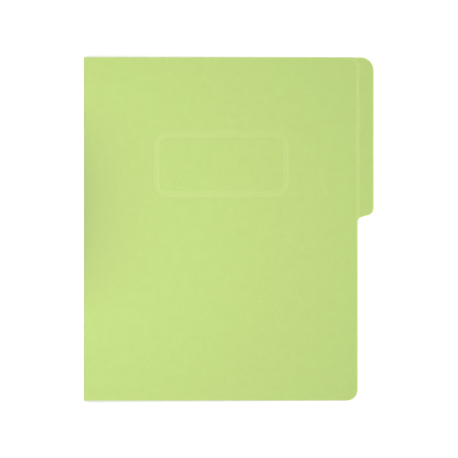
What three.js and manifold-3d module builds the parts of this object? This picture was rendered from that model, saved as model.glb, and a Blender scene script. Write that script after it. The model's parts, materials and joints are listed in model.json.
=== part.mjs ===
// A letter-size pressboard fastener folder, closed and lying on its back cover.
// Millimetres, +Z up. X runs from the folded spine (-X) to the side tab (+X), and Y runs up the page.
// The origin is at the middle of the folder's outline, on the surface that it lies on.
// The board is one creased sheet: a back cover with a tab, a flat spine panel and a front cover.
// A two-prong fastener is bonded inside the back cover, near the spine and parallel to it.

import * as THREE from "three";
import { mergeVertices } from "three/addons/utils/BufferGeometryUtils.js";
import Module from "manifold-3d";

const wasm = await Module();
wasm.setup();

// Board sizes
const boardThickness = 0.64;
const folderHeight = 298.45;
const bodyWidth = 237.8;
const coverCornerRadius = 9.4;
const frontTopCornerRadius = 6.5;

// Side tab on the back cover, measured from the top edge and out from the covers' free edge
const tabProjection = 14;
const tabLength = 136.2;
const tabFootDrop = 3.6;
const tabTopRadius = 11.2;
const tabOuterRadius = 6.5;
const tabInnerRadius = 5.2;

// Creases: how far each panel stops short of one, and the room between the closed covers
const creaseSetback = 0.15;
const coverRestGap = 0.3;
const coverClearance = 2.2;

// Embossed label frame, centred on the front cover's width
const labelWidth = 118;
const labelHeight = 57.6;
const labelFromTop = 64.1;
const labelBand = 5.7;
const labelOuterRadius = 8;
const labelInnerRadius = 4;
const embossRise = 0.3;
const embossShoulder = 0.7;
const embossEdge = 0.05;

// Fastener strip with its two prongs
const fastenerInset = 22;
const fastenerSpacing = 69.85;
const prongWidth = 6;
const prongTaper = 0.6;
const tipRoundness = 0.85;
const stripThickness = 0.3;
const stripBendRadius = 0.3;
const stubBendShare = 0.9;
const foldRadius = 0.5;
const foldSetback = 0.15;

// Patch that bonds the fastener to the board
const patchThickness = 0.3;
const patchWidth = 26;
const patchOverhang = 14;
const patchCornerRadius = 4;
const patchShoulder = 0.8;

// Compressor bar: a channel of sheet steel with a groove for the folded prongs
const barThickness = 0.35;
const barShoulder = 0.5;
const barFlange = 1.1;
const barOverhang = 12;
const barBendRadius = 0.35;
const barEndRadius = 4.5;

// Lock slides that wrap round the bar's flanges
const slideThickness = 0.3;
const slideLength = 8.5;
const slideCurl = 0.8;
const slideCornerRadius = 0.35;
const thumbLipHeight = 0.9;
const thumbLipWidth = 7;
const thumbLipRadius = 0.8;

// Clearances
const glueLine = 0.05;
const prongClearance = 0.3;
const prongRestGap = 0.1;
const slideClearance = 0.12;
const parkedGap = 0.6;
const tipGap = 0.7;

// Steps round an outline corner, a bend and an embossed shoulder, and the weld distance for vertices
const cornerSteps = 8;
const bendSteps = 3;
const shoulderSteps = 2;
const weldDistance = 1e-4;

const quarterTurn = Math.PI / 2;

const pressboard = new THREE.MeshStandardMaterial({ color: 0xc4df83, roughness: 0.7, metalness: 0 });
const patchPaper = new THREE.MeshStandardMaterial({ color: 0xb9d578, roughness: 0.8, metalness: 0 });
const tinnedSteel = new THREE.MeshStandardMaterial({ color: 0xc9cbcd, roughness: 0.3, metalness: 0.95 });
const slideSteel = new THREE.MeshStandardMaterial({ color: 0xd4d5d6, roughness: 0.25, metalness: 0.95 });

// The points of one rounded corner of an outline
function cornerPoints(before, corner, after, radius, steps) {
  if (radius === 0) {
    return [corner];
  }
  const arriving = before.clone().sub(corner).normalize();
  const leaving = after.clone().sub(corner).normalize();
  const halfAngle = Math.acos(THREE.MathUtils.clamp(arriving.dot(leaving), -1, 1)) / 2;
  const reach = radius / Math.tan(halfAngle);
  const centre = arriving.clone().add(leaving).normalize();
  centre.multiplyScalar(radius / Math.sin(halfAngle)).add(corner);
  const first = arriving.clone().multiplyScalar(reach).add(corner).sub(centre);
  const last = leaving.clone().multiplyScalar(reach).add(corner).sub(centre);
  const sweep = Math.atan2(first.cross(last), first.dot(last));
  return Array.from({ length: steps + 1 }, (_, i) =>
    first.clone().rotateAround(new THREE.Vector2(), (sweep * i) / steps).add(centre),
  );
}

// Leaves out each point that lies on the one before it
function withoutRepeats(points) {
  return points.filter((point, i) => {
    const before = points[(i + points.length - 1) % points.length];
    return point.distanceTo(before) > weldDistance;
  });
}

// A closed outline through corners given as [x, y, radius]
function roundedOutline(corners, steps = cornerSteps) {
  const places = corners.map(([x, y]) => new THREE.Vector2(x, y));
  const count = corners.length;
  const points = corners.flatMap(([, , radius], i) =>
    cornerPoints(places[(i + count - 1) % count], places[i], places[(i + 1) % count], radius, steps),
  );
  return withoutRepeats(points);
}

// The centre line of a bent strip, through [x, y] places with one bend radius
function bentLine(places, radius) {
  const points = places.map(([x, y]) => new THREE.Vector2(x, y));
  const last = points.length - 1;
  return points.flatMap((point, i) =>
    i === 0 || i === last ? [point] : cornerPoints(points[i - 1], point, points[i + 1], radius, bendSteps),
  );
}

// The section of a sheet of even thickness along a centre line
function sheetSection(line, thickness) {
  const normals = line.slice(1).map((point, i) => {
    const along = point.clone().sub(line[i]).normalize();
    return new THREE.Vector2(-along.y, along.x);
  });
  const offsets = line.map((_, i) => {
    const a = normals[Math.max(i - 1, 0)];
    const b = normals[Math.min(i, normals.length - 1)];
    return a.clone().add(b).multiplyScalar(thickness / 2 / (1 + a.dot(b)));
  });
  const left = line.map((point, i) => point.clone().add(offsets[i]));
  const right = line.map((point, i) => point.clone().sub(offsets[i]));
  return left.concat(right.reverse());
}

// A rectangle about a centre, with one corner radius
function rectangle(width, height, radius, x = 0, y = 0) {
  const [w, h] = [width / 2, height / 2];
  const corners = [
    [x - w, y - h, radius],
    [x + w, y - h, radius],
    [x + w, y + h, radius],
    [x - w, y + h, radius],
  ];
  return roundedOutline(corners);
}

// An outline in the XY plane, raised from z = bottom by a height
function plate(outline, depth, bottom = 0) {
  const geometry = new THREE.ExtrudeGeometry(new THREE.Shape(outline), { depth, bevelEnabled: false });
  return geometry.translate(0, 0, bottom);
}

// A section in the XZ plane, run along Y for a length about y = middle
function barAlongY(section, length, middle = 0) {
  return plate(section, length).rotateX(quarterTurn).translate(0, middle + length / 2, 0);
}

// A section in the YZ plane, run along X for a length about x = 0
function barAlongX(section, length) {
  return plate(section, length).rotateX(quarterTurn).rotateZ(quarterTurn).translate(-length / 2, 0, 0);
}

// A closed geometry as a solid that can be joined and cut
function solidOf(geometry) {
  const bare = geometry.index ? geometry.toNonIndexed() : geometry.clone();
  bare.deleteAttribute("normal");
  bare.deleteAttribute("uv");
  const merged = mergeVertices(bare, weldDistance);
  const vertProperties = merged.attributes.position.array;
  const triVerts = new Uint32Array(merged.index.array);
  return new wasm.Manifold(new wasm.Mesh({ numProp: 3, vertProperties, triVerts }));
}

// A solid as a geometry that can be drawn
function geometryOf(solid) {
  const mesh = solid.getMesh();
  const geometry = new THREE.BufferGeometry();
  geometry.setAttribute("position", new THREE.BufferAttribute(mesh.vertProperties, mesh.numProp));
  geometry.setIndex(new THREE.BufferAttribute(mesh.triVerts, 1));
  geometry.computeVertexNormals();
  return geometry;
}

function namedMesh(name, geometry, material) {
  const mesh = new THREE.Mesh(geometry, material);
  mesh.name = name;
  return mesh;
}

// Heights in the fastener's stack, from the board up
const stripBottom = boardThickness + glueLine;
const stripTop = stripBottom + stripThickness;
const patchTop = stripTop + glueLine + patchThickness;
const barBottom = patchTop + glueLine;
const grooveFloor = barBottom + barThickness;
const prongBottom = grooveFloor + prongRestGap;
const slideRoom = slideThickness + 2 * slideClearance;
const prongRoom = prongRestGap + stripThickness;
const barGrooveDepth = Math.max(slideRoom, prongRoom);
const flangeTop = grooveFloor + barGrooveDepth;
const slidePlateMiddle = flangeTop + slideClearance + slideThickness / 2;
const stackTop = slidePlateMiddle + thumbLipHeight;

// Widths and places across the fastener, and the axes that its prongs fold about
const halfSpacing = fastenerSpacing / 2;
const foldAxisY = halfSpacing - foldRadius;
const foldAxisZ = prongBottom + stripThickness / 2 - foldRadius;
const prongLength = foldAxisY - parkedGap / 2 - slideLength - tipGap;
const grooveWidth = prongWidth + 2 * prongClearance;
const barWidth = grooveWidth + 2 * (barShoulder + barFlange);

// The closed cover clears the fastener, and slopes down until its free edge rests on the back cover
const restHeight = 2 * boardThickness + coverRestGap;
const clearedHeight = stackTop + coverClearance + boardThickness;
const clearedReach = 1 - (fastenerInset + barWidth / 2) / bodyWidth;
const spineHeight = restHeight + (clearedHeight - restHeight) / clearedReach;
const closedSlope = Math.asin((spineHeight - restHeight) / bodyWidth);

// Both creases turn alike, about axes on the board's outer face
const creaseTurn = (Math.PI + closedSlope) / 2;
const spineWidth = spineHeight / Math.sin(creaseTurn);
const spineLean = -spineWidth * Math.cos(creaseTurn);
const mitre = Math.tan(creaseTurn / 2);

// Places across the folder, and the front cover's width from its crease to the free edge
const spineEdge = -(bodyWidth + tabProjection) / 2;
const freeEdge = spineEdge + bodyWidth;
const frontWidth = (bodyWidth - spineLean) / Math.cos(closedSlope);
const halfHeight = folderHeight / 2;
const fastenerX = spineEdge + fastenerInset;

// Cuts a panel back from its crease to a mitred end, for a crease at x and a panel that lies towards side * X
function mitreCutter(x, side) {
  const [below, above] = [-boardThickness, 2 * boardThickness];
  const section = [
    [below, below],
    [creaseSetback + below * mitre, below],
    [creaseSetback + above * mitre, above],
    [below, above],
  ];
  const points = section.map(([run, z]) => new THREE.Vector2(x + side * run, z));
  return solidOf(barAlongY(points, folderHeight + above));
}

// The back cover with its tab, lying flat with its outer face at z = 0
function backCover() {
  const right = freeEdge + tabProjection;
  const corners = [
    [spineEdge, -halfHeight, 0],
    [freeEdge, -halfHeight, coverCornerRadius],
    [freeEdge, halfHeight - tabLength - tabFootDrop, tabInnerRadius],
    [right, halfHeight - tabLength, tabOuterRadius],
    [right, halfHeight, tabTopRadius],
    [spineEdge, halfHeight, 0],
  ];
  const sheet = solidOf(plate(roundedOutline(corners), boardThickness));
  return namedMesh("back_cover", geometryOf(sheet.subtract(mitreCutter(spineEdge, 1))), pressboard);
}

// The spine panel from the back crease at x = 0 towards -X, outer face down and both ends mitred
function spinePanel() {
  const [near, far] = [creaseSetback, spineWidth - creaseSetback];
  const narrowing = boardThickness * mitre;
  const section = [
    [-near, 0],
    [-far, 0],
    [narrowing - far, boardThickness],
    [-near - narrowing, boardThickness],
  ];
  const points = section.map(([x, z]) => new THREE.Vector2(x, z));
  return namedMesh("spine_panel", barAlongY(points, folderHeight), pressboard);
}

// The label frame's band: a ring with rounded shoulders above and below its middle height
function labelRing() {
  const [innerWidth, innerHeight] = [labelWidth - 2 * labelBand, labelHeight - 2 * labelBand];
  const ring = new THREE.Shape(rectangle(labelWidth, labelHeight, labelOuterRadius));
  ring.holes.push(new THREE.Path(rectangle(innerWidth, innerHeight, labelInnerRadius)));
  return new THREE.ExtrudeGeometry(ring, {
    depth: embossEdge,
    bevelThickness: embossRise - embossEdge / 2,
    bevelSize: embossShoulder,
    bevelOffset: -embossShoulder,
    bevelSegments: shoulderSteps,
  }).translate(0, 0, -embossEdge / 2);
}

// The front cover from its crease at x = 0 towards -X, outer face down, as it lies when opened flat.
// The label frame is pressed out through the sheet, so the inner face has the same band as a recess.
function frontCover() {
  const corners = [
    [0, halfHeight, 0],
    [-frontWidth, halfHeight, frontTopCornerRadius],
    [-frontWidth, -halfHeight, coverCornerRadius],
    [0, -halfHeight, 0],
  ];
  const sheet = solidOf(plate(roundedOutline(corners), boardThickness)).subtract(mitreCutter(0, -1));
  const labelX = -frontWidth / 2;
  const labelY = halfHeight - labelFromTop - labelHeight / 2;
  const raised = solidOf(labelRing().translate(labelX, labelY, 0));
  const recess = solidOf(labelRing().translate(labelX, labelY, boardThickness));
  return namedMesh("front_cover", geometryOf(sheet.add(raised).subtract(recess)), pressboard);
}

// The spine panel turned up at the back crease, and the front cover turned over at the front crease
function spineAndFront() {
  const frontCrease = new THREE.Group();
  frontCrease.position.x = -spineWidth;
  frontCrease.rotation.y = creaseTurn;
  frontCrease.add(frontCover());
  const backCrease = new THREE.Group();
  backCrease.position.x = spineEdge;
  backCrease.rotation.y = creaseTurn;
  backCrease.add(spinePanel(), frontCrease);
  return backCrease;
}

// The steel strip that lies on the board, with a short stub bent up at each end
function fastenerBase() {
  const middle = stripBottom + stripThickness / 2;
  const stubTop = foldAxisZ - foldSetback;
  const places = [
    [-halfSpacing, stubTop],
    [-halfSpacing, middle],
    [halfSpacing, middle],
    [halfSpacing, stubTop],
  ];
  const line = bentLine(places, Math.min(stripBendRadius, (stubTop - middle) * stubBendShare));
  return namedMesh("fastener_base", barAlongX(sheetSection(line, stripThickness), prongWidth), tinnedSteel);
}

// One prong, folded inwards along the bar's groove. The group stands at the fold, so it is the prong's hinge.
function prong(name, side) {
  const root = prongWidth / 2;
  const tip = root - prongTaper;
  const corners = [
    [-root, -foldSetback, 0],
    [root, -foldSetback, 0],
    [tip, -prongLength, tip * tipRoundness],
    [-tip, -prongLength, tip * tipRoundness],
  ].reverse();
  const blade = plate(roundedOutline(corners), stripThickness, foldRadius - stripThickness / 2);
  const fold = new THREE.Group();
  fold.position.set(0, side * foldAxisY, foldAxisZ);
  fold.rotation.z = side > 0 ? 0 : Math.PI;
  fold.add(namedMesh(name, blade, tinnedSteel));
  return fold;
}

// A slot across the folder's width, with round ends, cut through all that lies below top
function slotCutter(length, width, y, top) {
  return solidOf(plate(rectangle(length, width, width / 2, 0, y), top));
}

// The raised middle of the patch, with sloping shoulders, before its pocket is cut
function patchCrown(pocketWidth, pocketLength) {
  const wall = patchThickness + patchShoulder;
  const crown = new THREE.Shape(rectangle(pocketWidth + 2 * wall, pocketLength + 2 * wall, wall));
  return new THREE.ExtrudeGeometry(crown, {
    depth: patchThickness,
    bevelThickness: patchTop - patchThickness - stripBottom,
    bevelSize: patchShoulder,
    bevelOffset: -patchShoulder,
    bevelSegments: 1,
  }).translate(0, 0, stripBottom);
}

// The paper patch: a flange glued to the board, with a raised pocket over the strip and a slit for each prong
function fastenerPatch() {
  const pocketWidth = prongWidth + 2 * prongClearance;
  const pocketLength = fastenerSpacing + stripThickness + 2 * prongClearance;
  const patchLength = fastenerSpacing + 2 * patchOverhang;
  const slitWidth = stripThickness + 2 * prongClearance;
  const flange = plate(rectangle(patchWidth, patchLength, patchCornerRadius), patchThickness, stripBottom);
  const cutters = [
    solidOf(plate(rectangle(patchWidth, patchLength, 0), stripBottom)),
    solidOf(plate(rectangle(pocketWidth, pocketLength, prongClearance), patchTop - patchThickness)),
    slotCutter(pocketWidth, slitWidth, halfSpacing, barBottom),
    slotCutter(pocketWidth, slitWidth, -halfSpacing, barBottom),
  ];
  const raised = solidOf(flange).add(solidOf(patchCrown(pocketWidth, pocketLength)));
  const patch = cutters.reduce((rest, cutter) => rest.subtract(cutter), raised);
  return namedMesh("fastener_patch", geometryOf(patch), patchPaper);
}

// Half of the bar's section, from its middle out to the flange's edge
function barHalfLine() {
  const web = barBottom + barThickness / 2;
  const flange = web + barGrooveDepth;
  const grooveEdge = grooveWidth / 2;
  return [
    [grooveEdge, web],
    [grooveEdge + barShoulder, flange],
    [barWidth / 2, flange],
  ];
}

// The compressor bar: a grooved channel with round ends, and a slot for each prong
function compressorBar() {
  const half = barHalfLine();
  const mirrored = half.map(([x, z]) => [-x, z]).reverse();
  const section = sheetSection(bentLine([...mirrored, ...half], barBendRadius), barThickness);
  const length = fastenerSpacing + 2 * barOverhang;
  const channel = solidOf(barAlongY(section, length));
  const outline = solidOf(plate(rectangle(barWidth, length, barEndRadius), flangeTop + glueLine));
  const slotWidth = foldRadius + stripThickness / 2 + 2 * prongClearance;
  const slotY = halfSpacing + (stripThickness / 2 - foldRadius) / 2;
  const upperSlot = slotCutter(grooveWidth, slotWidth, slotY, flangeTop);
  const lowerSlot = slotCutter(grooveWidth, slotWidth, -slotY, flangeTop);
  const bar = channel.intersect(outline).subtract(upperSlot).subtract(lowerSlot);
  return namedMesh("compressor_bar", geometryOf(bar), tinnedSteel);
}

// One lock slide: a plate over the bar with its edges curled under the flanges, and a lip for the thumb.
// The upper slide is the lower one turned half round.
function lockSlide(name, side) {
  const curlZ = flangeTop - barThickness - slideClearance - slideThickness / 2;
  const wallX = barWidth / 2 + slideClearance + slideThickness / 2;
  const curlX = wallX - slideCurl;
  const places = [
    [curlX, curlZ],
    [wallX, curlZ],
    [wallX, slidePlateMiddle],
    [-wallX, slidePlateMiddle],
    [-wallX, curlZ],
    [-curlX, curlZ],
  ];
  const middle = -(parkedGap + slideLength) / 2;
  const section = sheetSection(bentLine(places, slideCornerRadius), slideThickness);
  const clip = solidOf(barAlongY(section, slideLength, middle));
  const lipSection = rectangle(thumbLipWidth, 2 * thumbLipHeight, thumbLipRadius, 0, slidePlateMiddle);
  const lip = solidOf(barAlongY(lipSection, slideThickness, -(parkedGap + slideThickness) / 2));
  const underneath = solidOf(plate(rectangle(barWidth, slideLength, 0, 0, middle), slidePlateMiddle));
  const slide = namedMesh(name, geometryOf(clip.add(lip.subtract(underneath))), slideSteel);
  slide.rotation.z = side > 0 ? Math.PI : 0;
  return slide;
}

// The whole fastener, at its place inside the back cover
function fastener() {
  const group = new THREE.Group();
  group.position.x = fastenerX;
  group.add(
    fastenerBase(),
    fastenerPatch(),
    compressorBar(),
    prong("fastener_prong_upper", 1),
    prong("fastener_prong_lower", -1),
    lockSlide("lock_slide_upper", 1),
    lockSlide("lock_slide_lower", -1),
  );
  return group;
}

const folder = new THREE.Group();
folder.add(backCover(), spineAndFront(), fastener());

export default folder;
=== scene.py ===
import json
import math

import bpy
from mathutils import Matrix, Vector
from mathutils.geometry import delaunay_2d_cdt


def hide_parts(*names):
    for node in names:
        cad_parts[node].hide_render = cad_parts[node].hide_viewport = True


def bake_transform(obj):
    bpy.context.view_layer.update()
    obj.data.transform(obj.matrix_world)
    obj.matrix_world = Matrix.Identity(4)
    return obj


# Metres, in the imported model's frame: X from the spine to the tab, Y up the page, Z out of the front cover.
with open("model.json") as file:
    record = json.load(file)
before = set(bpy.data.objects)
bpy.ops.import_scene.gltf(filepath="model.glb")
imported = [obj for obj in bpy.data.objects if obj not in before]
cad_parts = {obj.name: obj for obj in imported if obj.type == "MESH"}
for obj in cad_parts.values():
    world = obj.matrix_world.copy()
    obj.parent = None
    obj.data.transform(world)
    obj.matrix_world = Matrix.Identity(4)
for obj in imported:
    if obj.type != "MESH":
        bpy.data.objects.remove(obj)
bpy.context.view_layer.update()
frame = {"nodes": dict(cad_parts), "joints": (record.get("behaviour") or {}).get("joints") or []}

MM = 0.001

# Board, as in the solids, apart from the front cover's top corner, which is a little rounder here
BOARD = 0.64 * MM
HALF_HEIGHT = 149.225 * MM
FREE_EDGE = 111.9 * MM
TAB_EDGE = 125.9 * MM
TAB_LENGTH = 136.2 * MM
TAB_FOOT_DROP = 3.6 * MM
TAB_TOP_RADIUS = 11.2 * MM
TAB_OUTER_RADIUS = 6.5 * MM
TAB_INNER_RADIUS = 5.2 * MM
COVER_CORNER_RADIUS = 9.4 * MM
FRONT_TOP_CORNER_RADIUS = 8.4 * MM

# Creases: the bend's outer radius
BEND_RADIUS = 0.78 * MM

# Label frame: a blind-embossed band round a flat panel, rounder at its corners than the solids' band
LABEL_WIDTH = 118 * MM
LABEL_HEIGHT = 57.6 * MM
LABEL_FROM_TOP = 64.1 * MM
LABEL_BAND = 5.7 * MM
LABEL_OUTER_RADIUS = 13 * MM
LABEL_INNER_RADIUS = 5.6 * MM
EMBOSS_RISE = 0.24 * MM
EMBOSS_SHOULDER = 1.5 * MM
EMBOSS_DIP = 0.07 * MM
EMBOSS_MOAT = 0.02 * MM
MOAT_REACH = 1.6 * MM

# Surface marks: the polished ridges of the label frame, and painted shade over a stretch of the front cover
# by the spine
BURNISH_LINE = 1.1 * MM
BURNISH_SPREAD = 0.6 * MM
BURNISH_FLOOR = 0.4
SPINE_SHADE_REACH = 28 * MM
SPINE_SHADE_MIDDLE = 20 * MM
SPINE_SHADE_HALF_LENGTH = 95 * MM

# Cut edges: how far they are rounded, and loops from the outer face to mid-board, as (inset, depth) in mm
EDGE_ROUND = 0.34 * MM
EDGE_LOOPS = [(0.2, 0.035), (0.1, 0.09), (0.03, 0.17), (0.0, 0.32)]

# Edge wear with a painted highlight beside the tab: full where the rounding starts, then loops on the faces,
# as (inset in mm, share of it)
WEAR_AND_HIGHLIGHT_LOOPS = [(0.75, 0.7), (1.3, 0.0)]
WORN_ELSEWHERE = 0.3
# Painted highlight along the free side: where it starts up the page, and the stretch over which it comes in
EDGE_HIGHLIGHT_LOW = -20 * MM
EDGE_HIGHLIGHT_FADE = 30 * MM

# Painted highlight on the back board's face just past the front cover's edge, lightening the edge's shadow
# there: the line's middle past the edge, and its half-widths
HIGHLIGHT_LINE_OFFSET = 0.65 * MM
HIGHLIGHT_LINE_FULL = 0.3 * MM
HIGHLIGHT_LINE_FADE = 1.0 * MM
HIGHLIGHT_LINE_SHARE = 0.9
INNER_FACE_DEPTH = 0.9 * BOARD

# The two boards meet flush at the spine's mid-line. A row this close to it keeps the shading flat there.
SEAM_GUARD = 0.05 * MM

# Mesh fineness
GRID_STEP = 5 * MM
GRID_MARGIN = 2 * MM
OUTLINE_STEP = 2.5 * MM
CORNER_STEPS = 14
COARSE_CORNER_STEPS = 6
CDT_EPSILON = 1e-7

# Grid lines by a crease: steps over the half spine and over the bend, then lines in mm beyond it
SPINE_STEPS = 4
BEND_STEPS = 10
LINES_PAST_BEND = [0.5, 1.2, 2.2, 3.6]

# Label frame: loops in mm, from outside its outer line to the band's middle, and the grid's distance from it
LABEL_LOOPS = [-1.6, -1.2, -0.8, -0.4, 0, 0.17, 0.33, 0.5, 0.67, 0.83, 1.0, 1.5, 2.1, 2.85]
LABEL_CLEARANCE = 2.2 * MM

# Noise patterns: the scale is per metre, and the pattern fades in as the noise goes from low to high
CLOUD = {"scale": 110, "detail": 4, "roughness": 0.6, "low": 0.3, "high": 0.7}
PORES = {"scale": 1500, "detail": 3, "roughness": 0.6, "low": 0.35, "high": 0.7}
# Patches for the scuffed edges and their painted highlights
SCUFF_AND_HIGHLIGHT_PATCHES = {"scale": 900, "detail": 4, "roughness": 0.7, "low": 0.35, "high": 0.6}
SMEARS = {"scale": 160, "detail": 3, "roughness": 0.6, "low": 0.3, "high": 0.7}

# Fibres and scratches: the turns are their directions in radians
HAIRS = {"length": 1.9 * MM, "width": 0.11 * MM, "turns": (0.35, 1.25, 2.2, 2.9), "low": 0.58, "high": 0.7}
FLECKS = {"length": 0.9 * MM, "width": 0.14 * MM, "turns": (0.8, 1.7, 2.6), "low": 0.6, "high": 0.7}
SCRATCHES = {"length": 5 * MM, "width": 0.05 * MM, "turns": (0.6, 1.9), "low": 0.52, "high": 0.74}
STRAND_NOISE = {"scale": 1.0, "detail": 1.0, "roughness": 0.5}

# Pressboard: how strongly each layer shows, and the sheen
PORE_SHARE = 0.35
PORE_HEIGHT = 0.5
HAIR_SHARE = 0.45
FLECK_SHARE = 0.3
BOARD_ROUGHEST = 0.66
BOARD_SMOOTHEST = 0.54
BOARD_SPECULAR = 0.3
BOARD_BUMP = 0.008 * MM

# Pressboard colours in 0 to 255 sRGB, and how strongly they show: painted shade by the spine, the polished
# frame, and worn edges with a painted highlight
SPINE_SHADE_COLOUR = (184, 204, 127)
SPINE_SHADE_SHARE = 0.85
POLISHED_COLOUR = (213, 236, 148)
POLISHED_SHARE = 0.75
SCUFF_AND_HIGHLIGHT_COLOUR = (225, 247, 155)
SCUFF_AND_HIGHLIGHT_FLOOR = 0.35

# Cut edge of the board: pressed layers and fuzz, with scales per metre
LAYER_NOISE = {"scale": 1.0, "detail": 3, "roughness": 0.6}
LAYER_STRETCH = (400, 400, 9000)
FUZZ_NOISE = {"scale": 2600, "detail": 2, "roughness": 0.6}
EDGE_GRAIN_RANGE = (0.7, 1.3)
EDGE_DARK = (212, 236, 146)
EDGE_LIGHT = (232, 248, 178)
EDGE_SMOOTHEST = 0.75
EDGE_ROUGHEST = 0.9
EDGE_SPECULAR = 0.2
EDGE_BUMP = 0.04 * MM

# Steel: rolling lines along the strip, with scales per metre, then how the smears darken and dull it
ROLLING_NOISE = {"scale": 1.0, "detail": 4, "roughness": 0.65}
ROLLING_STRETCH = (9000, 260, 9000)
SMEAR_SHARE = 0.6
SMEAR_DARKENING = 0.82
STEEL_GRAIN_RANGE = (0.4, 1.6)
SMOOTHER = 0.75
ROUGHER = 1.3
STEEL_BUMP = 0.004 * MM

# Studio: a white floor and surround, a soft lamp above the spine side and one from the tab's side
AMBIENT = 0.38
FLOOR_HALF = 4.0
FLOOR_DROP = 0.02 * MM
FLOOR_GREY = 0.9
FLOOR_LIFT = 0.4
FAR_FLOOR_LIFT = 0.8
FAR_FLOOR_FROM = 0.45
FAR_FLOOR_TO = 0.85
KEY_PLACE = (-0.16, -0.02, 0.5)
KEY_SIZE = 0.3
KEY_POWER = 1.12
SIDE_PLACE = (2.5, 0.4, 1.75)
SIDE_SIZE = 1.2
SIDE_POWER = 30

# Camera: it looks straight down at VIEW_MIDDLE, a place in the XY plane
VIEW_WIDTH = 398.05 * MM
LENS = 320
SENSOR = 36
SUBJECT_HEIGHT = 4 * MM
VIEW_MIDDLE = (0.1 * MM, -0.1 * MM)
CLIP_END = 20


def joint_place(name):
    """A crease's place in the XZ plane."""
    joint = next(j for j in frame["joints"] if j["name"] == name)
    return Vector((joint["pos_m"][0], joint["pos_m"][2]))


def smoothstep(t):
    """0 to 1 with soft ends, held outside that range."""
    t = min(max(t, 0.0), 1.0)
    return t * t * (3 - 2 * t)


# Outlines: a board is laid out flat, as s across from its crease and y up the page


def corner_arc(before, corner, after, radius, steps):
    """The points of one rounded corner."""
    if radius == 0:
        return [corner]
    arriving = (before - corner).normalized()
    leaving = (after - corner).normalized()
    half_angle = arriving.angle(leaving) / 2
    reach = radius / math.tan(half_angle)
    centre = corner + (arriving + leaving).normalized() * radius / math.sin(half_angle)
    first = corner + arriving * reach - centre
    last = corner + leaving * reach - centre
    sweep = math.atan2(first.x * last.y - first.y * last.x, first.dot(last))
    return [centre + Matrix.Rotation(sweep * i / steps, 2) @ first for i in range(steps + 1)]


def rounded_outline(corners, steps=CORNER_STEPS):
    """A closed outline through corners given as (x, y, radius)."""
    places = [Vector((x, y)) for x, y, _ in corners]
    count = len(corners)
    points = []
    for i, (_, _, radius) in enumerate(corners):
        points += corner_arc(places[i - 1], places[i], places[(i + 1) % count], radius, steps)
    return points


def subdivided(outline, step, stops=()):
    """The outline with no stretch longer than step, and with a point wherever it crosses x = a stop.

    An even point closer than a quarter of a step to such a crossing is left out.
    """
    points = []
    for i, start in enumerate(outline):
        end = outline[(i + 1) % len(outline)]
        run = end - start
        steps = math.ceil(run.length / step)
        shares = {k / steps for k in range(steps)}
        if abs(run.x) > CDT_EPSILON:
            found = [(stop - start.x) / run.x for stop in stops]
            crossings = {t for t in found if CDT_EPSILON < t < 1 - CDT_EPSILON}
            clear = {t for t in shares if all(abs(t - c) * run.length > step / 4 for c in crossings)}
            shares = clear | crossings
        points += [start + run * t for t in sorted(shares | {0.0})]
    return points


def outward_normals(outline, seam):
    """Unit normals out of a counter-clockwise outline. Along the seam at x = seam they have no x."""
    normals = []
    for i, point in enumerate(outline):
        along = (outline[(i + 1) % len(outline)] - outline[i - 1]).normalized()
        normal = Vector((along.y, -along.x))
        if abs(point.x - seam) < CDT_EPSILON:
            on_end = abs(abs(point.y) - HALF_HEIGHT) < CDT_EPSILON
            normal = Vector((0, math.copysign(1, point.y))) if on_end else Vector((0, 0))
        normals.append(normal)
    return normals


def inside_outline(point, outline, margin):
    """Whether a point lies inside a closed outline, further than margin from it."""
    inside = False
    for i, a in enumerate(outline):
        b = outline[i - 1]
        if (a.y > point.y) != (b.y > point.y):
            if point.x < (b.x - a.x) * (point.y - a.y) / (b.y - a.y) + a.x:
                inside = not inside
        run = b - a
        share = min(max((point - a).dot(run) / run.length_squared, 0), 1) if run.length > 0 else 0
        if (a + run * share - point).length < margin:
            return False
    return inside


# Folding: where a place on the flat sheet lies on the closed folder


def bend_path(crease, along, inward, spine_along, spine_inward):
    """The function that folds the flat sheet at one crease, and how far the bend reaches to each side of it.

    The function takes (s, depth), with s from the crease and depth from the outer face. It gives the place
    in the XZ plane and the outward direction there.
    """
    turn = math.atan2(
        inward.x * spine_inward.y - inward.y * spine_inward.x,
        inward.dot(spine_inward),
    )
    reach = BEND_RADIUS * abs(math.tan(turn / 2))
    centre = crease + along * reach + inward * BEND_RADIUS

    def place(s, depth):
        if s >= reach:
            return crease + along * s + inward * depth, -inward
        if s <= -reach:
            return crease - spine_along * s + spine_inward * depth, -spine_inward
        share = (reach - s) / (2 * reach)
        out = Matrix.Rotation(turn * share, 2) @ -inward
        return centre + out * (BEND_RADIUS - depth), out

    return place, reach


BACK_CREASE = joint_place("back_crease")
FRONT_CREASE = joint_place("front_crease")
SPINE_RUN = FRONT_CREASE - BACK_CREASE
SPINE_WIDTH = SPINE_RUN.length
SPINE_UP = SPINE_RUN.normalized()
SPINE_IN = Vector((SPINE_UP.y, -SPINE_UP.x))
CLOSED_SLOPE = 2 * (math.pi / 2 - math.atan2(SPINE_UP.y, SPINE_UP.x))
FRONT_ALONG = Vector((math.cos(CLOSED_SLOPE), -math.sin(CLOSED_SLOPE)))
FRONT_IN = Vector((FRONT_ALONG.y, -FRONT_ALONG.x))
FRONT_WIDTH = (FREE_EDGE - FRONT_CREASE.x) / FRONT_ALONG.x
LABEL_MIDDLE = Vector((FRONT_WIDTH / 2, HALF_HEIGHT - LABEL_FROM_TOP - LABEL_HEIGHT / 2))

back_place, BACK_REACH = bend_path(BACK_CREASE, Vector((1, 0)), Vector((0, 1)), SPINE_UP, SPINE_IN)
front_place, FRONT_REACH = bend_path(FRONT_CREASE, FRONT_ALONG, FRONT_IN, -SPINE_UP, SPINE_IN)


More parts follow.
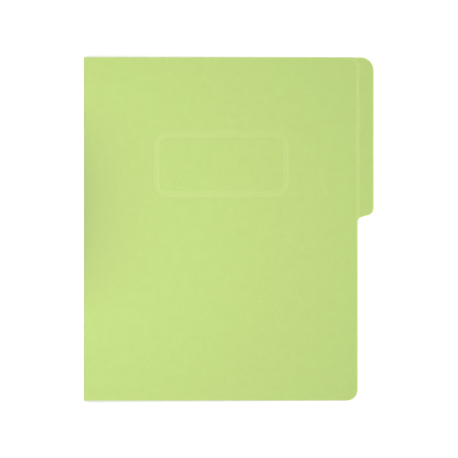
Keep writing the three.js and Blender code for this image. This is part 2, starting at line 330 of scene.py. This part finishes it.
def back_point(s, y, depth):
    """Where a place on the back board's flat sheet lies once it is folded."""
    place, _ = back_place(s, depth)
    return Vector((place.x, y, place.y))


def front_point(s, y, depth):
    """Where a place on the front board's flat sheet lies once it is embossed and folded."""
    place, out = front_place(s, depth)
    point = Vector((place.x, y, place.y))
    if s > FRONT_REACH:
        point += Vector((out.x, 0, out.y)) * emboss(s, y)
    return point


# Embossing and wear over the flat sheet


def rounded_box_distance(point, width, height, radius):
    """Signed distance from a point to a rounded rectangle about the origin."""
    qx = abs(point.x) - width / 2 + radius
    qy = abs(point.y) - height / 2 + radius
    outside = math.hypot(max(qx, 0), max(qy, 0))
    return outside + min(max(qx, qy), 0) - radius


def across_band(s, y):
    """How far in from the label frame's outer line a place lies; its inner line is at the band's width."""
    point = Vector((s, y)) - LABEL_MIDDLE
    inner_width = LABEL_WIDTH - 2 * LABEL_BAND
    inner_height = LABEL_HEIGHT - 2 * LABEL_BAND
    outer = rounded_box_distance(point, LABEL_WIDTH, LABEL_HEIGHT, LABEL_OUTER_RADIUS)
    inner = rounded_box_distance(point, inner_width, inner_height, LABEL_INNER_RADIUS)
    if outer >= 0:
        return -outer
    if inner <= 0:
        return LABEL_BAND - inner
    return LABEL_BAND * -outer / (inner - outer)


def emboss(s, y):
    """The embossed height: two soft ridges with a faint dip between, and a faint moat outside and inside."""
    run = across_band(s, y)
    edge = min(run, LABEL_BAND - run)
    if edge < 0:
        share = -edge / MOAT_REACH
        return -EMBOSS_MOAT * math.sin(math.pi * share) if share < 1 else 0.0
    rise = EMBOSS_RISE * smoothstep(edge / EMBOSS_SHOULDER)
    middle = smoothstep((edge - EMBOSS_SHOULDER) / (LABEL_BAND / 2 - EMBOSS_SHOULDER))
    return rise - EMBOSS_DIP * middle


def burnish(s, y):
    """How far the embossing die has polished the board: most along the band's two ridges."""
    run = across_band(s, y)
    edge = min(run, LABEL_BAND - run)
    ridge = math.exp(-(((edge - BURNISH_LINE) / BURNISH_SPREAD) ** 2))
    return smoothstep(edge / BURNISH_LINE) * (BURNISH_FLOOR + (1 - BURNISH_FLOOR) * ridge)


def painted_spine_shade(s, y):
    """How much shade is painted on the front cover along the middle of the spine."""
    share = min(abs(y - SPINE_SHADE_MIDDLE) / SPINE_SHADE_HALF_LENGTH, 1)
    lengthwise = math.cos(share * math.pi / 2)
    if s < 0:
        return lengthwise * smoothstep(1 + 2 * s / SPINE_WIDTH)
    return lengthwise * math.exp(-s / SPINE_SHADE_REACH)


def edge_wear_and_highlight(s, y):
    """How much scuffing a cut edge has, with a painted highlight along the free side beside the tab."""
    if s < FRONT_WIDTH - FRONT_TOP_CORNER_RADIUS:
        return WORN_ELSEWHERE
    return WORN_ELSEWHERE + (1 - WORN_ELSEWHERE) * smoothstep((y - EDGE_HIGHLIGHT_LOW) / EDGE_HIGHLIGHT_FADE)


# Meshes of the two boards


def lies_inside(triangle, places, rim, outline):
    """Whether a triangle is part of the sheet. One outside it, in a notch, has only border points."""
    if not all(v in rim for v in triangle):
        return True
    middle = sum((places[v] for v in triangle), Vector((0, 0))) / 3
    return inside_outline(middle, outline, 0)


def face_points(outline, normals, inner_points, seam):
    """The points of one face of the flat sheet, its rim first, and the scuffing and painted highlight at each
    one.
    """
    points = [p - n * EDGE_ROUND for p, n in zip(outline, normals)]
    wear_and_highlight = [edge_wear_and_highlight(*p) if n.length > 0 else 0.0 for p, n in zip(outline, normals)]
    cut = [(p, n) for p, n in zip(outline, normals) if abs(p.x - seam) > CDT_EPSILON]
    for inset, share in WEAR_AND_HIGHLIGHT_LOOPS:
        points += [p - n * inset * MM for p, n in cut]
        wear_and_highlight += [share * edge_wear_and_highlight(*p) for p, _ in cut]
    guard = [p + Vector((SEAM_GUARD, 0)) for p, n in zip(outline, normals) if n.length == 0]
    points += guard + inner_points
    wear_and_highlight += [0.0] * (len(guard) + len(inner_points))
    return points, wear_and_highlight


def face_layout(outline, normals, inner_points, seam):
    """One face of the flat sheet: its places, the scuffing and painted highlight at each, its triangles, and
    its rim in order.
    """
    points, point_wear_and_highlight = face_points(outline, normals, inner_points, seam)
    count = len(outline)
    border = [(i, (i + 1) % count) for i in range(count)]
    places, _, triangles, origins, _, _ = delaunay_2d_cdt(points, border, [], 0, CDT_EPSILON, True)
    wear_and_highlight = [max(point_wear_and_highlight[source] for source in sources) for sources in origins]
    index_of = {source: k for k, sources in enumerate(origins) for source in sources}
    rim = [index_of[i] for i in range(count)]
    on_rim = set(rim)
    triangles = [t for t in triangles if lies_inside(t, places, on_rim, points[:count])]
    return places, wear_and_highlight, triangles, rim


def edge_loops():
    """The loops round a cut edge, from the outer face to the inner one, as (inset, depth)."""
    outer_half = [(inset * MM, depth * MM) for inset, depth in EDGE_LOOPS]
    inner_half = [(inset, BOARD - depth) for inset, depth in reversed(outer_half[:-1])]
    return outer_half + inner_half


def ring_faces(upper, lower, face_up):
    """The band of faces between two rings that run counter-clockwise seen from the outer face."""
    count = len(upper)
    faces = []
    for i in range(count):
        j = (i + 1) % count
        quad = [upper[i], lower[i], lower[j], upper[j]]
        faces.append(quad if face_up else quad[::-1])
    return faces


def sheet_surface(outline, inner_points, seam, face_up):
    """The flat sheet: its places as (s, y, depth), their scuffing and painted highlight, its faces, and which
    is the first cut one.
    """
    normals = outward_normals(outline, seam)
    places, face_wear_and_highlight, triangles, rim = face_layout(outline, normals, inner_points, seam)
    total = len(places)
    flat_places = [(p.x, p.y, depth) for depth in (0, BOARD) for p in places]
    wear_and_highlight = face_wear_and_highlight + face_wear_and_highlight
    faces = [list(t) if face_up else list(reversed(t)) for t in triangles]
    faces += [[total + v for v in reversed(f)] for f in faces]
    first_cut = len(faces)
    ring = rim
    for inset, depth in edge_loops():
        next_ring = range(len(flat_places), len(flat_places) + len(outline))
        flat_places += [(*(p - n * inset), depth) for p, n in zip(outline, normals)]
        wear_and_highlight += [edge_wear_and_highlight(*p) for p in outline]
        faces += ring_faces(ring, next_ring, face_up)
        ring = next_ring
    faces += ring_faces(ring, [total + v for v in rim], face_up)
    return flat_places, wear_and_highlight, faces, first_cut


def add_attributes(mesh, flat_places, wear_and_highlight, face_up):
    """Gives each point its place on the whole unfolded sheet, measured from the back crease, its polish, its
    painted shade by the spine, and its scuffing with the painted highlight.
    """
    sheet = [(-SPINE_WIDTH - s if face_up else s, y, depth) for s, y, depth in flat_places]
    unfolded = mesh.attributes.new("unfolded", "FLOAT_VECTOR", "POINT")
    unfolded.data.foreach_set("vector", [value for place in sheet for value in place])
    for title, measure in (("burnish", burnish), ("painted_spine_shade", painted_spine_shade)):
        values = [measure(s, y) if face_up and depth < BOARD / 2 else 0.0 for s, y, depth in flat_places]
        mesh.attributes.new(title, "FLOAT", "POINT").data.foreach_set("value", values)
    mesh.attributes.new("worn_and_highlight", "FLOAT", "POINT").data.foreach_set("value", wear_and_highlight)


def make_sheet(name, outline, inner_points, point, seam, face_up):
    """A closed sheet: two faces over one triangulation, rounded cut edges and a flat end at the seam."""
    flat_places, wear_and_highlight, faces, first_cut = sheet_surface(outline, inner_points, seam, face_up)
    cut = [i >= first_cut for i in range(len(faces))]
    at_seam = [abs(s - seam) < CDT_EPSILON for s, _, _ in flat_places]
    smooth = [not (c and all(at_seam[v] for v in f)) for f, c in zip(faces, cut)]
    mesh = bpy.data.meshes.new(name)
    mesh.from_pydata([tuple(point(*place)) for place in flat_places], [], faces)
    mesh.polygons.foreach_set("use_smooth", smooth)
    mesh.polygons.foreach_set("material_index", [int(c) for c in cut])
    mesh.update()
    add_attributes(mesh, flat_places, wear_and_highlight, face_up)
    piece = bpy.data.objects.new(name, mesh)
    bpy.context.scene.collection.objects.link(piece)
    return piece


def bend_lines(reach, seam):
    """The s values of the first grid lines: over the half of the spine, over the bend, and just past it."""
    spine = [seam + (-reach - seam) * i / SPINE_STEPS for i in range(1, SPINE_STEPS)]
    bend = [-reach + 2 * reach * i / BEND_STEPS for i in range(BEND_STEPS + 1)]
    beyond = [reach + step * MM for step in LINES_PAST_BEND]
    return spine + bend + beyond


def inner_grid(corners, seam, lines, last, keep_out=lambda point: False):
    """Points over a board, at the given s lines and then at even steps, clear of its cut edges."""
    past_seam = [(x - GRID_MARGIN if x == seam else x, y, radius) for x, y, radius in corners]
    outline = rounded_outline(past_seam, COARSE_CORNER_STEPS)
    first = lines[-1]
    rows = round(2 * HALF_HEIGHT / GRID_STEP)
    columns = round((last - first) / GRID_STEP)
    across = lines + [first + (last - first) * i / columns for i in range(1, columns)]
    ups = [-HALF_HEIGHT + 2 * HALF_HEIGHT * i / rows for i in range(1, rows)]
    points = [Vector((s, y)) for s in across for y in ups]
    return [p for p in points if not keep_out(p) and inside_outline(p, outline, GRID_MARGIN)]


def near_label(point):
    """Whether a point lies on the label frame's band or close to it, where label_points takes over."""
    run = across_band(point.x, point.y)
    return -LABEL_CLEARANCE < run < LABEL_BAND + LABEL_CLEARANCE


def label_points():
    """Rounded rectangles across the label frame's band, close together on its shoulders."""
    runs = [loop * MM for loop in LABEL_LOOPS]
    runs += [LABEL_BAND - run for run in runs[-2::-1]]
    points = []
    for run in runs:
        share = min(max(run / LABEL_BAND, 0), 1)
        radius = LABEL_OUTER_RADIUS + (LABEL_INNER_RADIUS - LABEL_OUTER_RADIUS) * share
        radius -= min(run, 0) + max(run - LABEL_BAND, 0)
        w = LABEL_WIDTH / 2 - run
        h = LABEL_HEIGHT / 2 - run
        corners = [(-w, -h, radius), (w, -h, radius), (w, h, radius), (-w, h, radius)]
        points += [p + LABEL_MIDDLE for p in subdivided(rounded_outline(corners), OUTLINE_STEP)]
    return points


def make_back_board():
    """The back cover with its side tab, and the half of the spine that joins it."""
    seam = -SPINE_WIDTH / 2
    width = FREE_EDGE - BACK_CREASE.x
    tab = TAB_EDGE - BACK_CREASE.x
    corners = [
        (seam, -HALF_HEIGHT, 0),
        (width, -HALF_HEIGHT, COVER_CORNER_RADIUS),
        (width, HALF_HEIGHT - TAB_LENGTH - TAB_FOOT_DROP, TAB_INNER_RADIUS),
        (tab, HALF_HEIGHT - TAB_LENGTH, TAB_OUTER_RADIUS),
        (tab, HALF_HEIGHT, TAB_TOP_RADIUS),
        (seam, HALF_HEIGHT, 0),
    ]
    lines = bend_lines(BACK_REACH, seam)
    outline = subdivided(rounded_outline(corners), OUTLINE_STEP, [seam + SEAM_GUARD] + lines)
    inner_points = inner_grid(corners, seam, lines, tab)
    return make_sheet("board_back", outline, inner_points, back_point, seam, False)


def make_front_board():
    """The front cover with its embossed label frame, and the half of the spine that joins it."""
    seam = -SPINE_WIDTH / 2
    corners = [
        (seam, -HALF_HEIGHT, 0),
        (FRONT_WIDTH, -HALF_HEIGHT, COVER_CORNER_RADIUS),
        (FRONT_WIDTH, HALF_HEIGHT, FRONT_TOP_CORNER_RADIUS),
        (seam, HALF_HEIGHT, 0),
    ]
    lines = bend_lines(FRONT_REACH, seam)
    outline = subdivided(rounded_outline(corners), OUTLINE_STEP, [seam + SEAM_GUARD] + lines)
    inner_points = inner_grid(corners, seam, lines, FRONT_WIDTH, near_label) + label_points()
    return make_sheet("board_front", outline, inner_points, front_point, seam, True)


# Materials


def srgb(red, green, blue):
    """A colour written in 0 to 255 sRGB, as linear values."""
    def linear(value):
        share = value / 255
        return share / 12.92 if share <= 0.04045 else ((share + 0.055) / 1.055) ** 2.4

    return (linear(red), linear(green), linear(blue), 1)


class Nodes:
    """Short calls to build the node tree of a material or a world."""

    def __init__(self, owner):
        owner.use_nodes = True
        self.tree = owner.node_tree
        self.tree.nodes.clear()

    def add(self, kind, **settings):
        node = self.tree.nodes.new(kind)
        for key, value in settings.items():
            setattr(node, key, value)
        return node

    def link(self, source, target):
        self.tree.links.new(source, target)

    def spread(self, value, low, high, to_low=0.0, to_high=1.0):
        """A value spread from low to high over another range, and held at its ends."""
        node = self.add("ShaderNodeMapRange")
        node.inputs["From Min"].default_value = low
        node.inputs["From Max"].default_value = high
        node.inputs["To Min"].default_value = to_low
        node.inputs["To Max"].default_value = to_high
        self.link(value, node.inputs["Value"])
        return node.outputs["Result"]

    def maths(self, operation, first, second):
        """The result for a socket and a socket or number."""
        node = self.add("ShaderNodeMath", operation=operation)
        self.link(first, node.inputs[0])
        if isinstance(second, (int, float)):
            node.inputs[1].default_value = second
        else:
            self.link(second, node.inputs[1])
        return node.outputs["Value"]

    def vector_maths(self, operation, first, second):
        """The result for a vector's socket and a fixed vector."""
        node = self.add("ShaderNodeVectorMath", operation=operation)
        self.link(first, node.inputs[0])
        node.inputs[1].default_value = second
        return node.outputs["Vector"]

    def length(self, vector):
        node = self.add("ShaderNodeVectorMath", operation="LENGTH")
        self.link(vector, node.inputs[0])
        return node.outputs["Value"]


class Surface(Nodes):
    """A material with one main shader, whose patterns lie on the object or on the unfolded sheet."""

    def __init__(self, name, unfolded=False):
        self.material = bpy.data.materials.new(name)
        super().__init__(self.material)
        self.shader = self.add("ShaderNodeBsdfPrincipled")
        output = self.add("ShaderNodeOutputMaterial")
        self.link(self.shader.outputs["BSDF"], output.inputs["Surface"])
        if unfolded:
            self.place = self.add("ShaderNodeAttribute", attribute_name="unfolded").outputs["Vector"]
        else:
            self.place = self.add("ShaderNodeTexCoord").outputs["Object"]

    def attribute(self, name):
        return self.add("ShaderNodeAttribute", attribute_name=name).outputs["Fac"]

    def scaled(self, scale, turn=0.0):
        """The place turned about Z, then scaled along each axis."""
        turned = self.add("ShaderNodeVectorRotate", rotation_type="Z_AXIS")
        turned.inputs["Angle"].default_value = turn
        self.link(self.place, turned.inputs["Vector"])
        node = self.add("ShaderNodeMapping")
        node.inputs["Scale"].default_value = scale
        self.link(turned.outputs["Vector"], node.inputs["Vector"])
        return node.outputs["Vector"]

    def noise(self, scale, detail, roughness, vector=None):
        node = self.add("ShaderNodeTexNoise")
        node.inputs["Scale"].default_value = scale
        node.inputs["Detail"].default_value = detail
        node.inputs["Roughness"].default_value = roughness
        self.link(vector or self.place, node.inputs["Vector"])
        return node.outputs["Fac"]

    def pattern(self, scale, detail, roughness, low, high, floor=0.0):
        """A noise pattern, which goes from the floor to 1 as the noise goes from low to high."""
        return self.spread(self.noise(scale, detail, roughness), low, high, floor, 1.0)

    def fibres(self, length, width, turns, low, high):
        """Short fibres that lie in several directions. They fade in as the noise goes from low to high."""
        found = None
        for turn in turns:
            stretched = self.scaled((1 / length, 1 / width, 1 / width), turn)
            layer = self.spread(self.noise(**STRAND_NOISE, vector=stretched), low, high)
            found = layer if found is None else self.maths("MAXIMUM", found, layer)
        return found

    def mixed(self, share, first, second):
        """A colour between two, each a socket or a fixed colour."""
        node = self.add("ShaderNodeMix", data_type="RGBA")
        self.link(share, node.inputs["Factor"])
        for key, value in (("A", first), ("B", second)):
            socket = next(s for s in node.inputs if s.name == key and s.type == "RGBA")
            if isinstance(value, tuple):
                socket.default_value = value
            else:
                self.link(value, socket)
        return next(s for s in node.outputs if s.type == "RGBA")

    def layered(self, layer, share, under, over):
        """The colour over another where a layer is 1, at the given share."""
        return self.mixed(self.maths("MULTIPLY", layer, share), under, over)

    def bump(self, height, distance):
        node = self.add("ShaderNodeBump")
        node.inputs["Distance"].default_value = distance
        self.link(height, node.inputs["Height"])
        self.link(node.outputs["Normal"], self.shader.inputs["Normal"])


def painted_highlight_line(nodes):
    """1 along a painted highlight on the back board's inner face, just past the front cover's edge and top
    corner.
    """
    radius = FRONT_TOP_CORNER_RADIUS
    corner_centre = (FRONT_WIDTH - radius, HALF_HEIGHT - radius, 0)
    beyond = nodes.vector_maths("SUBTRACT", nodes.place, corner_centre)
    beyond = nodes.vector_maths("MAXIMUM", beyond, (0, 0, 0))
    beyond = nodes.vector_maths("MULTIPLY", beyond, (1, 1, 0))
    offset = nodes.maths("SUBTRACT", nodes.length(beyond), radius + HIGHLIGHT_LINE_OFFSET)
    offset = nodes.maths("ABSOLUTE", offset, 0)
    line = nodes.spread(offset, HIGHLIGHT_LINE_FULL, HIGHLIGHT_LINE_FADE, HIGHLIGHT_LINE_SHARE, 0.0)
    apart = nodes.add("ShaderNodeSeparateXYZ")
    nodes.link(nodes.place, apart.inputs["Vector"])
    inner_face = nodes.maths("GREATER_THAN", apart.outputs["Z"], INNER_FACE_DEPTH)
    return nodes.maths("MULTIPLY", line, inner_face)


def colour_with_wear_and_painted_light(nodes, colour):
    """The board's colour, with painted shade by the spine, polish on the label frame, and scuffing and
    painted highlights at its edges and on the tab.
    """
    # Painted shade along the middle of the spine
    colour = nodes.layered(nodes.attribute("painted_spine_shade"), SPINE_SHADE_SHARE, colour, srgb(*SPINE_SHADE_COLOUR))
    colour = nodes.layered(nodes.attribute("burnish"), POLISHED_SHARE, colour, srgb(*POLISHED_COLOUR))
    # Scuffed edges plus painted highlights along the free edge and on the tab, in patches
    scuffed_and_highlit = nodes.maths("MAXIMUM", nodes.attribute("worn_and_highlight"), painted_highlight_line(nodes))
    patchy = nodes.pattern(**SCUFF_AND_HIGHLIGHT_PATCHES, floor=SCUFF_AND_HIGHLIGHT_FLOOR)
    return nodes.layered(scuffed_and_highlit, patchy, colour, srgb(*SCUFF_AND_HIGHLIGHT_COLOUR))


def make_pressboard(name, base, dark, light, fibre, fleck, unfolded):
    """Calendered pressboard: cloudy dye, fine pores and pressed fibres, with a low uneven sheen."""
    nodes = Surface(name, unfolded)
    cloud = nodes.pattern(**CLOUD)
    pores = nodes.pattern(**PORES)
    hairs = nodes.fibres(**HAIRS)
    flecks = nodes.fibres(**FLECKS)
    colour = nodes.mixed(cloud, dark, light)
    colour = nodes.layered(pores, PORE_SHARE, colour, base)
    colour = nodes.layered(flecks, FLECK_SHARE, colour, fleck)
    colour = nodes.layered(hairs, HAIR_SHARE, colour, fibre)
    if unfolded:
        colour = colour_with_wear_and_painted_light(nodes, colour)
    nodes.link(colour, nodes.shader.inputs["Base Color"])
    both = nodes.maths("ADD", pores, cloud)
    rough = nodes.spread(both, 0.0, 2.0, BOARD_ROUGHEST, BOARD_SMOOTHEST)
    nodes.link(rough, nodes.shader.inputs["Roughness"])
    nodes.shader.inputs["Specular IOR Level"].default_value = BOARD_SPECULAR
    nodes.bump(nodes.maths("ADD", nodes.maths("MULTIPLY", pores, PORE_HEIGHT), hairs), BOARD_BUMP)
    return nodes.material


def make_board_edge():
    """The board's cut edge: pressed layers, paler and rougher than the faces."""
    nodes = Surface("board_edge", True)
    layers = nodes.noise(**LAYER_NOISE, vector=nodes.scaled(LAYER_STRETCH))
    fuzz = nodes.noise(**FUZZ_NOISE)
    grain = nodes.spread(nodes.maths("ADD", layers, fuzz), *EDGE_GRAIN_RANGE)
    colour = nodes.mixed(grain, srgb(*EDGE_DARK), srgb(*EDGE_LIGHT))
    nodes.link(colour, nodes.shader.inputs["Base Color"])
    rough = nodes.spread(fuzz, 0, 1, EDGE_SMOOTHEST, EDGE_ROUGHEST)
    nodes.link(rough, nodes.shader.inputs["Roughness"])
    nodes.shader.inputs["Specular IOR Level"].default_value = EDGE_SPECULAR
    nodes.bump(grain, EDGE_BUMP)
    return nodes.material


def make_steel(name, tint, roughness):
    """Rolled sheet steel with fine lines along the strip, faint smears and small scratches."""
    nodes = Surface(name)
    lines = nodes.noise(**ROLLING_NOISE, vector=nodes.scaled(ROLLING_STRETCH))
    smear = nodes.pattern(**SMEARS)
    scratches = nodes.fibres(**SCRATCHES)
    darker = tuple(value * SMEAR_DARKENING for value in tint[:3]) + (1,)
    colour = nodes.layered(smear, SMEAR_SHARE, tint, darker)
    nodes.link(colour, nodes.shader.inputs["Base Color"])
    nodes.shader.inputs["Metallic"].default_value = 1.0
    grain = nodes.maths("ADD", lines, smear)
    rough = nodes.spread(grain, *STEEL_GRAIN_RANGE, roughness * SMOOTHER, roughness * ROUGHER)
    nodes.link(rough, nodes.shader.inputs["Roughness"])
    nodes.bump(nodes.maths("ADD", lines, scratches), STEEL_BUMP)
    return nodes.material


def dressed(piece, *materials):
    """Puts the materials in the piece's slots, and gives the piece back."""
    slots = piece.data.materials
    for i, material in enumerate(materials):
        if i < len(slots):
            slots[i] = material
        else:
            slots.append(material)
    return piece


# Studio


def camera_seen(nodes):
    """1 for rays from the camera, a mirror or clear glass, and 0 for the light that falls on the object."""
    path = nodes.add("ShaderNodeLightPath")
    seen = path.outputs["Is Camera Ray"]
    for other in ("Is Glossy Ray", "Is Transmission Ray"):
        seen = nodes.maths("MAXIMUM", seen, path.outputs[other])
    return seen


def make_world():
    """A white surround that lights the object at a plain level."""
    world = bpy.data.worlds.new("studio")
    bpy.context.scene.world = world
    nodes = Nodes(world)
    background = nodes.add("ShaderNodeBackground")
    background.inputs["Color"].default_value = (1, 1, 1, 1)
    strength = nodes.spread(camera_seen(nodes), 0, 1, AMBIENT, 1.0)
    nodes.link(strength, background.inputs["Strength"])
    output = nodes.add("ShaderNodeOutputWorld")
    nodes.link(background.outputs["Background"], output.inputs["Surface"])


def make_floor_material():
    """White where the camera sees it, with the object's shadow on it, and whiter still far away."""
    material = bpy.data.materials.new("floor")
    nodes = Nodes(material)
    diffuse = nodes.add("ShaderNodeBsdfDiffuse")
    diffuse.inputs["Color"].default_value = (FLOOR_GREY, FLOOR_GREY, FLOOR_GREY, 1)
    distance = nodes.length(nodes.add("ShaderNodeTexCoord").outputs["Object"])
    lift = nodes.spread(distance, FAR_FLOOR_FROM, FAR_FLOOR_TO, FLOOR_LIFT, FAR_FLOOR_LIFT)
    glow = nodes.add("ShaderNodeEmission")
    nodes.link(nodes.maths("MULTIPLY", camera_seen(nodes), lift), glow.inputs["Strength"])
    both = nodes.add("ShaderNodeAddShader")
    nodes.link(diffuse.outputs["BSDF"], both.inputs[0])
    nodes.link(glow.outputs["Emission"], both.inputs[1])
    output = nodes.add("ShaderNodeOutputMaterial")
    nodes.link(both.outputs["Shader"], output.inputs["Surface"])
    return material


def make_floor():
    """A wide floor just under the folder."""
    mesh = bpy.data.meshes.new("floor")
    half = FLOOR_HALF
    corners = [(-half, -half, 0), (half, -half, 0), (half, half, 0), (-half, half, 0)]
    mesh.from_pydata(corners, [], [(0, 1, 2, 3)])
    mesh.materials.append(make_floor_material())
    floor = bpy.data.objects.new("floor", mesh)
    bpy.context.scene.collection.objects.link(floor)
    floor.location.z = -FLOOR_DROP


def make_lamp(name, place, target, size, power):
    """A soft round lamp that the camera doesn't see."""
    light = bpy.data.lights.new(name, "AREA")
    light.shape = "DISK"
    light.size = size
    light.energy = power
    lamp = bpy.data.objects.new(name, light)
    bpy.context.scene.collection.objects.link(lamp)
    lamp.location = place
    lamp.rotation_euler = (Vector(target) - Vector(place)).to_track_quat("-Z", "Y").to_euler()
    lamp.visible_camera = False
    return lamp


def make_camera():
    """A long lens straight above the folder."""
    data = bpy.data.cameras.new("camera")
    data.sensor_width = SENSOR
    data.lens = LENS
    data.clip_end = CLIP_END
    camera = bpy.data.objects.new("camera", data)
    bpy.context.scene.collection.objects.link(camera)
    camera.location = (*VIEW_MIDDLE, SUBJECT_HEIGHT + VIEW_WIDTH * LENS / SENSOR)
    bpy.context.scene.camera = camera


# The folder: two boards that bend across their creases, and the fastener's own solids

pressboard = make_pressboard(
    "pressboard",
    base=srgb(203, 230, 133),
    dark=srgb(200, 227, 130),
    light=srgb(204, 231, 135),
    fibre=srgb(221, 242, 164),
    fleck=srgb(178, 208, 104),
    unfolded=True,
)
patch_paper = make_pressboard(
    "patch_paper",
    base=srgb(190, 217, 126),
    dark=srgb(186, 213, 121),
    light=srgb(194, 220, 130),
    fibre=srgb(214, 233, 162),
    fleck=srgb(164, 192, 98),
    unfolded=False,
)
board_edge = make_board_edge()
tinned_steel = make_steel("tinned_steel", srgb(212, 213, 214), 0.3)
slide_steel = make_steel("slide_steel", srgb(222, 222, 221), 0.24)

back_board = dressed(make_back_board(), pressboard, board_edge)
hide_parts("back_cover", "spine_panel")
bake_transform(back_board)

front_board = dressed(make_front_board(), pressboard, board_edge)
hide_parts("front_cover", "spine_panel")
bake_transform(front_board)

for node, material in (
    ("fastener_patch", patch_paper),
    ("fastener_base", tinned_steel),
    ("compressor_bar", tinned_steel),
    ("fastener_prong_upper", tinned_steel),
    ("fastener_prong_lower", tinned_steel),
    ("lock_slide_upper", slide_steel),
    ("lock_slide_lower", slide_steel),
):
    dressed(frame["nodes"][node], material)

make_world()
make_floor()
key_lamp = make_lamp("key", KEY_PLACE, (KEY_PLACE[0], KEY_PLACE[1], 0), KEY_SIZE, KEY_POWER)
# Its mirror image would burn out the steel seen from above
key_lamp.visible_glossy = False
make_lamp("side", SIDE_PLACE, (0, 0, 0), SIDE_SIZE, SIDE_POWER)
make_camera()
bpy.context.scene.view_settings.view_transform = "Standard"
